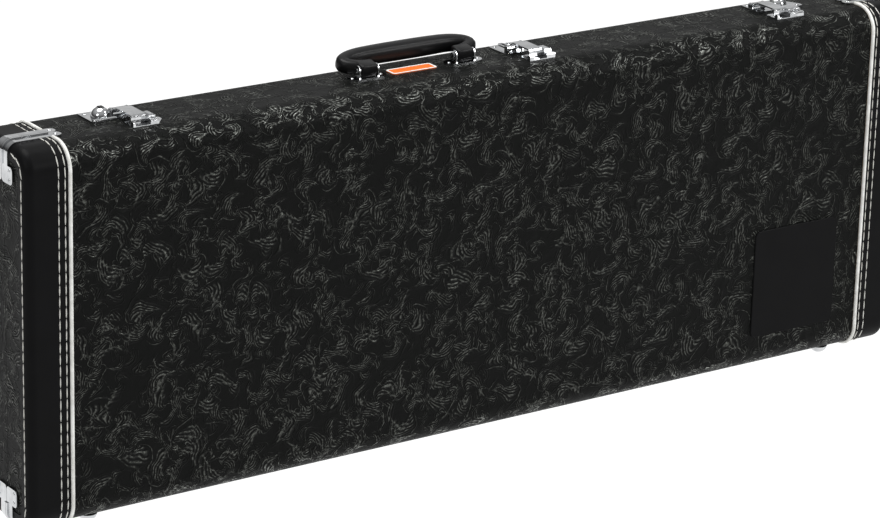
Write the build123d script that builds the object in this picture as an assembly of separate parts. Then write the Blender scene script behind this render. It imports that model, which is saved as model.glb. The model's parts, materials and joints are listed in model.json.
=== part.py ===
from build123d import *
from math import sqrt
import os

# Hardshell case for an electric guitar, in millimetres, standing on its hinge side.
# X runs along the case, the lid faces -Y, the base faces +Y, and Z is up.
# The origin is on the floor, under the middle of the case.

# Driving sizes of the case
LENGTH = 1035.0           # over the leather ends
HEIGHT = 372.0            # from the bottom cover to the top cover
BASE_DEPTH = 62.0         # rear half, which carries the handle
LID_DEPTH = 43.0          # front half
EDGE_R = 22.0             # rounding of the long edges
END_R = 8.0               # rounding round each end face
SIDE_PLY = 8.0            # frame of each half
FACE_PLY = 4.5            # large panel of each half
VINYL = 0.9               # embossed cover
LEATHER = 1.6             # smooth band at each end
BAND_WIDTH = 45.5         # from the end to the middle of the piping
BAND_WRAP = 13.0          # how far the leather turns in over the end face
PIPE_R = 1.8              # white piping
PART_GAP = 0.4            # between the halves when shut
SEAT = 0.05               # between a fixed piece and what it lies on
FIT = 0.3                 # between pieces side by side
PIN_FIT = 0.05            # round a pin that turns

# Feet and hinges under the case
FOOT_HEIGHT = 7.0
FOOT_R = 9.3
FOOT_FLAT_R = 3.0         # flat that the case stands on
FOOT_X = LENGTH / 2 - 73.5    # measured from the ends
FOOT_INSET = 23.0         # from the outer face of each half
HINGE_FROM_END = 187.5
HINGE_X = (HINGE_FROM_END - LENGTH / 2, 0.0, LENGTH / 2 - HINGE_FROM_END)
HINGE_LENGTH = 60.0
HINGE_LEAF = 17.0
HINGE_SHEET = 1.2
KNUCKLE_R = 3.0
KNUCKLES = 5
HINGE_PIN_R = 1.4
HINGE_CORNER = 3.0

# Chrome strips beside the parting line
STRIP_WIDTH = 11.0
STRIP_SHEET = 1.2
LIP_WIDTH = 2.6
LIP_HEIGHT = 1.2
STRIP_TAB = 11.0          # past the middle of the piping
PLATE_WIDTH = 20.0        # end plate, across the end face
PLATE_TOP = 20.0          # below the corner
PLATE_HEIGHT = 17.0
PLATE_CORNER = 4.0

# Handle
HANDLE_X = -63.5
HANDLE_SPAN = 112.0       # between the middles of the brackets
HANDLE_BEHIND = 10.5      # from the parting line to the pins
HANDLE_LEAN = 80.0        # degrees back from upright, as it lies at rest
PIN_ABOVE = 8.5           # pins above the cover
HANDLE_PIN_R = 2.0
BLOCK_WIDTH = 19.0
BLOCK_DEPTH = 13.2
BLOCK_HEIGHT = 12.0       # squared part of each block above its pin
PIN_HEAD = 0.8            # of a pin past its ear
GRIP_RISE = 27.0          # middle of the grip above the pins
GRIP_OVERHANG = 14.0      # past the middle of each bracket
GRIP_THICK = 17.5
GRIP_WIDE = 18.0
ELBOW_R = 10.0
ELBOW_THINNER = 2.0       # elbow's section than the bar's
BRACKET_LENGTH = 42.5
BRACKET_DEPTH = 15.0
BRACKET_SHEET = 1.5
EAR_RISE = 13.5
EAR_WIDTH = 10.5

# Latches: name, middle of the hasp, width of the hasp
LATCH_LEFT_FROM_END = 133.5
LATCH_RIGHT_FROM_END = 147.5
LATCHES = (
    ("left", LATCH_LEFT_FROM_END - LENGTH / 2, 15.5),
    ("middle", 63.0, 15.0),
    ("right", LENGTH / 2 - LATCH_RIGHT_FROM_END, 14.0),
)
PLATE_SPANS = {"left": (-35.5, 12.0, 0.0), "middle": (-20.5, 16.0, 0.0), "right": (-9.5, 36.0, 13.0)}
DOMES = {"left": -20.0, "right": 26.5}
HASP_SHEET = 1.4
HASP_RISE = 9.5           # top of the hasp above the cover
HASP_REACH = 13.0         # claw in front of the parting line
CLAW_TIP = 2.1            # lower edge of the claw above the cover
HASP_PIVOT_BACK = 24.0    # pin behind the parting line
HASP_PIVOT_UP = 4.6
HASP_PIN_R = 1.1
HASP_CURL_R = 2.6
LATCH_SHEET = 1.2
LATCH_CORNER = 1.8
PLATE_FRONT = 8.0         # front edge of the base plate behind the parting line
PLATE_BACK = 39.0
ROLL_R = 1.7
DOME_R = 9.3
DOME_RISE = 9.0
DOME_RIM = 1.0            # straight edge under the dome
DOME_BACK = 23.0
BUTTON = 5.0
BUTTON_TRAVEL = 1.5
BUTTON_EDGE = 0.6
CATCH_BACK = 3.0          # rear edge of the catch plate in front of the parting line
CATCH_FRONT = 22.0
RIDGE_RISE = 5.5
RIDGE_DEPTH = 5.0
BLOCK_RISE = 9.0
EAR_SHEET = 1.3
WELL_FLOOR = 1.6
BUTTON_PROUD = 0.5
# Catch from the hasp's left side to its own, and from the hasp's right side to its tip
CATCH_SPANS = {"left": (2.5, 18.0), "middle": (5.0, 19.0), "right": (2.5, 27.0)}
WING = 9.0
WING_TIP = 3.0
WING_FRONT = 8.0          # wing of the catch in front of the parting line
WING_BACK = 12.0          # wing of the base plate behind it
LOOP_BESIDE = 14.3        # from the middle hasp's middle to the loop's
LOOP_WIDTH = 7.8
LOOP_LENGTH = 19.0
LOOP_SLOT = (3.4, 9.0)
LOOP_UP = 6.0

# Label on the base and patch on the lid
LABEL = (51.0, 16.0, 1.0)
LABEL_SHIFT = -2.5        # from the middle of the handle
LABEL_BEHIND = 2.5        # from the handle's pins
LABEL_CORNER = 3.0
LABEL_BORDER = 2.0
LABEL_DROP = 0.4          # field below its border
PATCH = (109.0, 117.0, 1.4)
PATCH_FROM_PIPING = 33.0
PATCH_ABOVE_BOTTOM = 36.6
PATCH_CORNER = 6.0

# Padding inside
FLOOR_PAD = 8.0
LID_PAD = 8.0
PAD_FIT = 0.3             # between soft pieces and the plywood
PAD_CORNER = 12.0
BODY_HALF = 115.0         # half width left for the guitar's waist
WAIST_X = 247.5 - LENGTH / 2
WAIST_LENGTH = 270.0
NECK_HALF = 38.0          # half width of the neck channel
POCKET_X0 = -30.0
POCKET_LENGTH = 280.0
POCKET_WALL = 6.0
POCKET_LID = 5.0
NECK_REST_X = 205.0
NECK_REST_LENGTH = 40.0
NECK_REST_RISE = 26.0
SADDLE_DEPTH = 9.0
PULL_TAB = (26.0, 16.0, 1.2)

# Places worked out from the sizes above
DEPTH = BASE_DEPTH + LID_DEPTH
PART_Y = LID_DEPTH - DEPTH / 2
PLY_X = LENGTH / 2 - LEATHER
PLY_Y = DEPTH / 2 - VINYL
PLY_Z0 = FOOT_HEIGHT + VINYL
PLY_Z1 = FOOT_HEIGHT + HEIGHT - VINYL
TOP = PLY_Z1 + VINYL
MID_Z = (PLY_Z0 + PLY_Z1) / 2
BAND_X = LENGTH / 2 - BAND_WIDTH
BASE, LID = 1, -1
INNER_X = PLY_X - SIDE_PLY
INNER_Z = (PLY_Z1 - PLY_Z0) / 2 - SIDE_PLY
HINGE_Z = FOOT_HEIGHT - KNUCKLE_R - FIT
HANDLE_Y = PART_Y + HANDLE_BEHIND
HANDLE_Z = TOP + PIN_ABOVE
LOOP_X = LATCHES[1][1] - LOOP_BESIDE


def block(x0, x1, y0, y1, z0, z1):
    """Box between two corners."""
    size = Box(abs(x1 - x0), abs(y1 - y0), abs(z1 - z0))
    return Pos((x0 + x1) / 2, (y0 + y1) / 2, (z0 + z1) / 2) * size


def along_x(radius, x0, x1, y, z):
    """Round bar along X."""
    return Pos((x0 + x1) / 2, y, z) * Rot(0, 90, 0) * Cylinder(radius, abs(x1 - x0))


def half_profile(side, grow, face_grow, y_in, corner):
    """Section of one half across the case, its two outer corners rounded."""
    y_out = side * (PLY_Y + face_grow)
    low, high = PLY_Z0 - grow, PLY_Z1 + grow
    rect = Pos((y_in + y_out) / 2, (low + high) / 2) * Rectangle(abs(y_out - y_in), high - low)
    corners = [v for v in rect.vertices() if abs(v.X - y_out) < 0.01]
    return Plane.YZ * fillet(corners, corner)


def half_block(side, grow):
    """Solid outer form of one half, grown outwards from its plywood."""
    y_in = PART_Y + side * PART_GAP / 2
    half_x = PLY_X + grow
    form = extrude(half_profile(side, grow, grow, y_in, EDGE_R + grow), half_x, both=True)
    rim = [
        e for e in form.edges()
        if abs(abs(e.center().X) - half_x) < 0.01 and abs(e.center().Y - y_in) > 0.01
    ]
    return fillet(rim, END_R + grow)


def half_skin(side, thickness):
    """Sheet of even thickness over the outside of one half."""
    return half_block(side, thickness) - half_block(side, 0)


def room(side, gap):
    """Hollow of one half, drawn in from the plywood by a gap."""
    profile = half_profile(side, -SIDE_PLY - gap, -FACE_PLY - gap, PART_Y, EDGE_R - SIDE_PLY)
    return extrude(profile, INNER_X - gap, both=True)


def shell(side):
    """Plywood tray of one half."""
    return half_block(side, 0) - room(side, 0)


def end_window(side, margin):
    """Prism through both end faces, where the cover shows inside the leather."""
    inset = BAND_WRAP + margin
    opening = half_profile(side, -inset, -inset, PART_Y, END_R)
    return extrude(opening, LENGTH, both=True)


def cover(side):
    """Embossed cover of one half: the long wrap and the two end panels."""
    skin = half_skin(side, VINYL)
    edge = BAND_X - PIPE_R - FIT
    wrap = skin & Box(2 * edge, 2 * DEPTH, 4 * HEIGHT)
    ends = (skin & end_window(side, FIT)) - Box(2 * (PLY_X - SEAT), 2 * DEPTH, 4 * HEIGHT)
    return Compound([*wrap.solids(), *ends.solids()])


def leather(side, end):
    """Leather band round one end of one half."""
    edge = BAND_X + PIPE_R + FIT
    reach = block(end * edge, end * LENGTH, -DEPTH, DEPTH, -HEIGHT, 2 * HEIGHT)
    return (half_skin(side, LEATHER) & reach) - end_window(side, 0)


def piping(side, end):
    """Eight-sided cord along the seam between cover and leather, strip to strip."""
    off = PIPE_R + SEAT
    x, y0 = end * BAND_X, PART_Y + side * (STRIP_WIDTH + PART_GAP + FIT)
    y1 = side * (PLY_Y + off)
    z0, z1 = PLY_Z0 - off, PLY_Z1 + off
    path = FilletPolyline((x, y0, z1), (x, y1, z1), (x, y1, z0), (x, y0, z0), radius=EDGE_R + off)
    return sweep(Plane(origin=path @ 0, z_dir=path % 0) * RegularPolygon(PIPE_R, 8), path=path)


def corner_sheet(seat, sheet, x_in, z_drop):
    """Face in XZ that follows the top right corner of the case, as a bent sheet."""
    def quarter(off):
        x1, z1 = PLY_X + LEATHER + off, PLY_Z1 + LEATHER + off
        z0 = PLY_Z1 + LEATHER - z_drop
        rect = Pos((x_in + x1) / 2, (z0 + z1) / 2) * Rectangle(x1 - x_in, z1 - z0)
        corner = [v for v in rect.vertices() if v.X > x1 - 0.01 and v.Y > z1 - 0.01]
        return fillet(corner, END_R + LEATHER + off)
    return Plane.XZ * (quarter(seat + sheet) - quarter(seat))


def strip_profile(y0, y1, sheet, x_in, z_drop):
    """Bent sheet of corner_sheet between two places across the case."""
    face = corner_sheet(SEAT, sheet, x_in, z_drop)
    return Pos(0, max(y0, y1), 0) * extrude(face, abs(y1 - y0))


def edge_strip(side, end, level):
    """Chrome strip at one corner, with its lip, tab and end plate."""
    x_in = BAND_X - STRIP_TAB
    y0 = PART_Y + side * PART_GAP / 2
    drop = PLATE_TOP + PLATE_HEIGHT / 2
    strip = strip_profile(y0, y0 + side * STRIP_WIDTH, STRIP_SHEET, x_in, drop)
    tab = [e for e in strip.edges().filter_by(Axis.Z) if e.center().X < x_in + 0.01]
    strip = fillet(tab, STRIP_WIDTH / 2 - FIT)
    lip = strip_profile(y0, y0 + side * LIP_WIDTH, STRIP_SHEET + LIP_HEIGHT, BAND_X, PLATE_TOP)
    x_face = PLY_X + LEATHER + SEAT
    z1 = PLY_Z1 + LEATHER - PLATE_TOP
    plate = block(x_face, x_face + STRIP_SHEET, y0, y0 + side * PLATE_WIDTH, z1 - PLATE_HEIGHT, z1)
    plate = fillet(plate.edges().filter_by(Axis.X), PLATE_CORNER)
    strip = strip + lip + plate
    if end < 0:
        strip = strip.mirror(Plane.YZ)
    if level < 0:
        strip = strip.mirror(Plane.XY.offset(MID_Z))
    return strip


def edge_strips(side):
    """The four corner strips of one half."""
    pieces = [edge_strip(side, end, level) for end in (-1, 1) for level in (-1, 1)]
    return Compound([s for piece in pieces for s in piece.solids()])


def feet(side):
    """Two chrome domes under one half."""
    y = side * (DEPTH / 2 - FOOT_INSET)
    rise = FOOT_HEIGHT - SEAT
    arc = ThreePointArc((FOOT_R, rise), (FOOT_R * 0.82, rise * 0.36), (FOOT_FLAT_R, 0))
    outline = make_face(Polyline((FOOT_FLAT_R, 0), (0, 0), (0, rise), (FOOT_R, rise)) + arc)
    dome = revolve(Plane.XZ * outline, Axis.Z)
    return Compound([Pos(x, y, 0) * dome for x in (-FOOT_X, FOOT_X)])


def hinge_leaf(side, x_mid):
    """One leaf of a butt hinge, with its share of the knuckles."""
    z1 = FOOT_HEIGHT - SEAT
    z0 = z1 - HINGE_SHEET
    pitch = HINGE_LENGTH / KNUCKLES
    x0 = x_mid - HINGE_LENGTH / 2
    clear = PART_Y + side * (KNUCKLE_R + FIT)
    leaf = block(x0, x0 + HINGE_LENGTH, clear, PART_Y + side * HINGE_LEAF, z0, z1)
    far = PART_Y + side * HINGE_LEAF
    corners = [e for e in leaf.edges().filter_by(Axis.Z) if abs(e.center().Y - far) < 0.01]
    leaf = fillet(corners, HINGE_CORNER)
    for k in range(KNUCKLES):
        if (k % 2 == 0) == (side == BASE):
            a, b = x0 + k * pitch + FIT / 2, x0 + (k + 1) * pitch - FIT / 2
            leaf += block(a, b, PART_Y, clear + side * FIT, z0, z1)
            leaf += along_x(KNUCKLE_R, a, b, PART_Y, HINGE_Z)
    return leaf - along_x(HINGE_PIN_R + PIN_FIT, x0 - 1, x0 + HINGE_LENGTH + 1, PART_Y, HINGE_Z)


def hinge_leaves(side):
    return Compound([s for x in HINGE_X for s in hinge_leaf(side, x).solids()])


def hinge_pins():
    half = HINGE_LENGTH / 2
    return Compound([along_x(HINGE_PIN_R, x - half, x + half, PART_Y, HINGE_Z) for x in HINGE_X])


def bracket(x):
    """Handle bracket: a long plate with rounded ends and two upright ears."""
    z0 = TOP + SEAT
    plate = Pos(x, HANDLE_Y, z0) * extrude(SlotOverall(BRACKET_LENGTH, BRACKET_DEPTH), BRACKET_SHEET)
    ear_x = BLOCK_WIDTH / 2 + FIT
    ear = Rectangle(EAR_WIDTH, EAR_RISE)
    top = [v for v in ear.vertices() if v.Y > 0]
    ear = extrude(Plane.YZ * fillet(top, EAR_WIDTH * 0.43), BRACKET_SHEET)
    for shift in (-ear_x - BRACKET_SHEET, ear_x):
        plate += Pos(x + shift, HANDLE_Y, z0 + EAR_RISE / 2) * ear
    bore = along_x(HANDLE_PIN_R + SEAT, x - BLOCK_WIDTH, x + BLOCK_WIDTH, HANDLE_Y, HANDLE_Z)
    return plate - bore


def handle_pins():
    half = BLOCK_WIDTH / 2 + FIT + BRACKET_SHEET + PIN_HEAD
    places = (HANDLE_X - HANDLE_SPAN / 2, HANDLE_X + HANDLE_SPAN / 2)
    return Compound([along_x(HANDLE_PIN_R, x - half, x + half, HANDLE_Y, HANDLE_Z) for x in places])


def handle_grip():
    """Moulded handle: a straight bar, two bent ends and the pivot blocks they run into."""
    leg, out = HANDLE_SPAN / 2, HANDLE_SPAN / 2 + GRIP_OVERHANG
    foot = BLOCK_HEIGHT * 0.75
    points = [(-leg, 0, foot), (-out, 0, GRIP_RISE), (out, 0, GRIP_RISE), (leg, 0, foot)]
    path = FilletPolyline(*points, radius=ELBOW_R)
    start = Plane(origin=path @ 0, x_dir=(0, 1, 0), z_dir=path % 0)
    wide, thick = GRIP_WIDE - ELBOW_THINNER, GRIP_THICK - ELBOW_THINNER
    grip = sweep(start * RectangleRounded(wide, thick, GRIP_THICK * 0.4), path=path)
    bar = extrude(RectangleRounded(GRIP_THICK, GRIP_WIDE, GRIP_THICK * 0.42), leg - ELBOW_R, both=True)
    grip += Pos(0, 0, GRIP_RISE) * Rot(0, 90, 0) * bar
    half = BLOCK_DEPTH / 2
    for middle in (-leg, leg):
        x0, x1 = middle - BLOCK_WIDTH / 2, middle + BLOCK_WIDTH / 2
        grip += along_x(half, x0, x1, 0, 0)
        grip += block(x0, x1, -half, half, 0, BLOCK_HEIGHT)
        grip -= along_x(HANDLE_PIN_R + PIN_FIT, x0 - BLOCK_WIDTH, x1 + BLOCK_WIDTH, 0, 0)
    return Pos(HANDLE_X, HANDLE_Y, HANDLE_Z) * Rot(-HANDLE_LEAN, 0, 0) * grip


def label_plate():
    """Small blank label between the handle brackets, with a raised border."""
    length, depth, sheet = LABEL
    plate = extrude(RectangleRounded(length, depth, LABEL_CORNER), sheet)
    inner = RectangleRounded(length - 2 * LABEL_BORDER, depth - 2 * LABEL_BORDER, LABEL_CORNER / 2)
    plate -= Pos(0, 0, sheet - LABEL_DROP) * extrude(inner, sheet)
    return Pos(HANDLE_X + LABEL_SHIFT, HANDLE_Y + LABEL_BEHIND, TOP + SEAT) * plate


def lid_patch():
    """Smooth square patch on the lid, left blank."""
    width, height, sheet = PATCH
    x = BAND_X - PATCH_FROM_PIPING - width / 2
    z = FOOT_HEIGHT + PATCH_ABOVE_BOTTOM + height / 2
    patch = extrude(RectangleRounded(width, height, PATCH_CORNER), sheet)
    face = patch.faces().sort_by(Axis.Z)[-1]
    patch = chamfer(face.edges(), sheet * 0.5)
    return Pos(x, -DEPTH / 2 - SEAT, z) * Rot(90, 0, 0) * patch


def hasp(x, width):
    """Bent hasp: a curl round its pin, a raised span and a claw in front."""
    y_pin = PART_Y + HASP_PIVOT_BACK
    z_pin = TOP + HASP_PIVOT_UP
    y_claw = PART_Y - HASP_REACH + HASP_SHEET / 2
    z_low, z_high = z_pin + HASP_CURL_R - HASP_SHEET / 2, TOP + HASP_RISE - HASP_SHEET / 2
    points = [
        (y_pin, z_low), (y_pin - HASP_RISE / 2, z_low), (y_pin - HASP_RISE, z_high),
        (y_claw, z_high), (y_claw, TOP + CLAW_TIP),
    ]
    line = FilletPolyline(*points, radius=HASP_SHEET * 1.5)
    strap = Pos(x - width / 2, 0, 0) * extrude(Plane.YZ * trace(line, HASP_SHEET), width)
    curl = along_x(HASP_CURL_R, x - width / 2, x + width / 2, y_pin, z_pin)
    bore = along_x(HASP_PIN_R + PIN_FIT, x - width, x + width, y_pin, z_pin)
    return strap + curl - bore


def latch_plate(x, width, x0, x1, wing, rolled):
    """Base plate of a latch: rolled front edge, two ears for the hasp, and a pointed wing."""
    z0 = TOP + SEAT
    y0, y1 = PART_Y + PLATE_FRONT, PART_Y + PLATE_BACK
    outline = [(x0, y0), (x1, y0), (x1 + wing, PART_Y + WING_BACK - WING_TIP),
               (x1 + wing, PART_Y + WING_BACK + WING_TIP), (x1, y1), (x0, y1)]
    if wing == 0:
        outline = [(x0, y0), (x1, y0), (x1, y1), (x0, y1)]
    plate = Pos(0, 0, z0) * extrude(make_face(Polyline(*outline, close=True)), LATCH_SHEET)
    plate = fillet(plate.edges().filter_by(Axis.Z), LATCH_CORNER)
    left, right = x - width / 2 - FIT, x + width / 2 + FIT
    roll_z = z0 + ROLL_R
    if rolled:
        plate += along_x(ROLL_R, x0 + FIT, left - EAR_SHEET, y0 + ROLL_R, roll_z)
    y_pin, z_pin = PART_Y + HASP_PIVOT_BACK, TOP + HASP_PIVOT_UP
    ear_top = HASP_PIVOT_UP + HASP_CURL_R
    ear = Rectangle(2 * HASP_CURL_R + 2, ear_top)
    ear = fillet([v for v in ear.vertices() if v.Y > 0], HASP_CURL_R)
    ear = extrude(Plane.YZ * ear, EAR_SHEET)
    for x_ear in (left - EAR_SHEET, right):
        plate += Pos(x_ear, y_pin, z0 + ear_top / 2) * ear
    reach = width + 4 * EAR_SHEET
    return plate - along_x(HASP_PIN_R + SEAT, x - reach / 2, x + reach / 2, y_pin, z_pin)


def latch_pins():
    """Pins that carry the three hasps."""
    pins = []
    for name, x, width in LATCHES:
        half = width / 2 + FIT + EAR_SHEET + PIN_HEAD
        pins.append(along_x(HASP_PIN_R, x - half, x + half,
                            PART_Y + HASP_PIVOT_BACK, TOP + HASP_PIVOT_UP))
    return Compound(pins)


def dome(x):
    """Round domed lock case with a square well for its button."""
    foot = TOP + SEAT + LATCH_SHEET + SEAT
    rim = DOME_RIM
    sphere_r = (DOME_R ** 2 + (DOME_RISE - rim) ** 2) / (2 * (DOME_RISE - rim))
    outline = Polyline((DOME_R, rim), (DOME_R, 0), (0, 0), (0, DOME_RISE))
    half = sqrt(sphere_r ** 2 - (DOME_R * 0.6) ** 2) - (sphere_r - DOME_RISE)
    arc = ThreePointArc((0, DOME_RISE), (DOME_R * 0.6, half), (DOME_R, rim))
    form = revolve(Plane.XZ * make_face(outline + arc), Axis.Z)
    well = Pos(0, 0, WELL_FLOOR + DOME_RISE) * Box(BUTTON + 2 * FIT, BUTTON + 2 * FIT, 2 * DOME_RISE)
    return Pos(x, PART_Y + DOME_BACK, foot) * (form - well)


def button(x):
    """Square push button in the middle of a dome."""
    foot = TOP + SEAT + LATCH_SHEET + SEAT
    low = WELL_FLOOR + BUTTON_TRAVEL + FIT
    high = DOME_RISE + BUTTON_PROUD
    form = Pos(0, 0, (low + high) / 2) * Box(BUTTON, BUTTON, high - low)
    top = form.faces().sort_by(Axis.Z)[-1]
    form = fillet(top.edges(), BUTTON_EDGE)
    return Pos(x, PART_Y + DOME_BACK, foot) * form


def catch(x, width, jamb, reach):
    """Catch plate on the lid: a ridge with a window under the hasp, a block and a wing."""
    z0 = TOP + SEAT
    y0, y1 = PART_Y - CATCH_FRONT, PART_Y - CATCH_BACK
    x0 = x - width / 2 - jamb
    x1 = x + width / 2 + reach
    shoulder = x + width / 2 + FIT
    outline = [(x0, y0), (x1 - WING, y0), (x1, PART_Y - WING_FRONT - WING_TIP),
               (x1, PART_Y - WING_FRONT + WING_TIP), (x1 - WING, y1), (x0, y1)]
    plate = Pos(0, 0, z0) * extrude(make_face(Polyline(*outline, close=True)), LATCH_SHEET)
    plate = fillet(plate.edges().filter_by(Axis.Z), LATCH_CORNER)
    ridge = block(x0, x1 - WING, y0, y0 + RIDGE_DEPTH, z0, z0 + RIDGE_RISE)
    crown = [e for e in ridge.edges().filter_by(Axis.X) if e.center().Z > z0 + 1]
    ridge = fillet(crown, RIDGE_DEPTH * 0.4)
    ridge -= block(x0 + jamb, shoulder, y0 - 1, y0 + RIDGE_DEPTH + 1, z0 + LATCH_SHEET, TOP + HASP_RISE)
    bolt = block(shoulder, x1 - WING - 1, y0 + RIDGE_DEPTH, y1, z0, z0 + BLOCK_RISE)
    crown = [e for e in bolt.edges() if e.center().Z > z0 + BLOCK_RISE - 0.01]
    bolt = fillet(crown, BLOCK_RISE * 0.3)
    return plate + ridge + bolt


def loop():
    """Flat locking loop with a slot, beside the middle hasp."""
    x = LOOP_X
    y_pin, z_pin = PART_Y + PLATE_FRONT + ROLL_R, TOP + LOOP_UP
    arm = Pos(0, LOOP_LENGTH / 2) * RectangleRounded(LOOP_WIDTH, LOOP_LENGTH, LOOP_WIDTH / 2 - 0.2)
    slot = Pos(0, LOOP_LENGTH * 0.62) * RectangleRounded(*LOOP_SLOT, LOOP_SLOT[0] * 0.35)
    arm = extrude(arm - slot, HASP_SHEET / 2, both=True)
    arm -= Box(2 * LOOP_WIDTH, HASP_CURL_R, LOOP_WIDTH)
    curl = along_x(HASP_CURL_R, -LOOP_WIDTH / 2, LOOP_WIDTH / 2, 0, 0)
    bore = along_x(HASP_PIN_R + PIN_FIT, -LOOP_WIDTH, LOOP_WIDTH, 0, 0)
    return Pos(x, y_pin, z_pin) * (arm + curl - bore)


def loop_post():
    """Two small ears and the pin that carry the locking loop."""
    y_pin, z_pin = PART_Y + PLATE_FRONT + ROLL_R, TOP + LOOP_UP
    foot = TOP + SEAT + LATCH_SHEET + SEAT
    half = LOOP_WIDTH / 2 + FIT
    post = along_x(HASP_PIN_R, LOOP_X - half - EAR_SHEET, LOOP_X + half + EAR_SHEET, y_pin, z_pin)
    for x0 in (LOOP_X - half - EAR_SHEET, LOOP_X + half):
        post += block(x0, x0 + EAR_SHEET, y_pin - HASP_CURL_R, y_pin + HASP_CURL_R,
                      foot, z_pin + HASP_CURL_R)
    return post


def floor_pad():
    """Flat plush pad over the floor of the base."""
    y1 = PLY_Y - FACE_PLY - PAD_FIT
    slab = block(-LENGTH, LENGTH, y1 - FLOOR_PAD, y1, 0, 2 * HEIGHT)
    return slab & room(BASE, PAD_FIT)


def pad_floor_y():
    """Front face of the floor pad, on which the other pads stand."""
    return PLY_Y - FACE_PLY - PAD_FIT - FLOOR_PAD - SEAT


def waist_pad(level):
    """Curved block that holds the guitar's waist, against the top or bottom frame."""
    rise = INNER_Z - PAD_FIT - BODY_HALF
    x0, x1 = WAIST_X - WAIST_LENGTH / 2, WAIST_X + WAIST_LENGTH / 2
    arc = ThreePointArc((x0, 0), (WAIST_X, rise), (x1, 0))
    face = make_face(Polyline((x1, 0), (x0, 0)) + arc)
    depth = pad_floor_y() - PART_Y - FIT
    form = extrude(Plane.XZ * face, depth)
    z_wall = MID_Z + level * (INNER_Z - PAD_FIT)
    form = form.mirror(Plane.XY) if level > 0 else form
    return (Pos(0, pad_floor_y(), z_wall) * form) & room(BASE, PAD_FIT)


def neck_block():
    """Padded block between the neck channel and the bottom frame."""
    z0, z1 = MID_Z - INNER_Z + PAD_FIT, MID_Z - NECK_HALF
    form = block(POCKET_X0, POCKET_X0 + POCKET_LENGTH, PART_Y + FIT, pad_floor_y(), z0, z1)
    inner = [e for e in form.edges().filter_by(Axis.Y) if e.center().Z > z1 - 0.01]
    return fillet(inner, PAD_CORNER) & room(BASE, PAD_FIT)


def pocket():
    """Open box for straps and cords, between the neck channel and the top frame."""
    z0, z1 = MID_Z + NECK_HALF, MID_Z + INNER_Z - PAD_FIT
    x1 = POCKET_X0 + POCKET_LENGTH
    y0 = PART_Y + POCKET_LID + 2 * FIT
    form = block(POCKET_X0, x1, y0, pad_floor_y(), z0, z1)
    inner = [e for e in form.edges().filter_by(Axis.Y) if e.center().Z < z0 + 0.01]
    form = fillet(inner, PAD_CORNER) & room(BASE, PAD_FIT)
    hollow = block(POCKET_X0 + POCKET_WALL, x1 - POCKET_WALL, y0 - 1, pad_floor_y() - POCKET_WALL,
                   z0 + POCKET_WALL, z1 - POCKET_WALL)
    return form - hollow


def pocket_lid():
    """Flat lid over the pocket, hinged along the frame."""
    z0, z1 = MID_Z + NECK_HALF, MID_Z + INNER_Z - PAD_FIT - FIT
    x1 = POCKET_X0 + POCKET_LENGTH
    y1 = PART_Y + POCKET_LID + FIT
    form = block(POCKET_X0, x1, y1 - POCKET_LID, y1, z0, z1)
    inner = [e for e in form.edges().filter_by(Axis.Y) if e.center().Z < z0 + 0.01]
    return fillet(inner, PAD_CORNER)


def pocket_tab():
    """Leather pull tab on the free edge of the pocket lid."""
    length, width, sheet = PULL_TAB
    x = POCKET_X0 + POCKET_LENGTH / 2
    y1 = PART_Y + FIT - SEAT
    tab = extrude(RectangleRounded(width, length, width * 0.4), sheet)
    return Pos(x, y1, MID_Z + NECK_HALF + length / 2 + FIT) * Rot(90, 0, 0) * tab


def neck_rest():
    """Block across the neck channel with a shallow saddle for the neck."""
    x0 = NECK_REST_X - NECK_REST_LENGTH / 2
    half = NECK_HALF - FIT
    y1 = pad_floor_y()
    form = block(x0, x0 + NECK_REST_LENGTH, y1 - NECK_REST_RISE, y1, MID_Z - half, MID_Z + half)
    radius = (half * half * 0.55 + SADDLE_DEPTH ** 2) / (2 * SADDLE_DEPTH)
    centre = y1 - NECK_REST_RISE - radius + SADDLE_DEPTH
    return form - along_x(radius, x0 - 1, x0 + NECK_REST_LENGTH + 1, centre, MID_Z)


def lid_pad():
    """Plush pad over the inside of the lid."""
    y0 = -PLY_Y + FACE_PLY + PAD_FIT
    slab = block(-LENGTH, LENGTH, y0, y0 + LID_PAD, 0, 2 * HEIGHT)
    return slab & room(LID, PAD_FIT)


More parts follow.
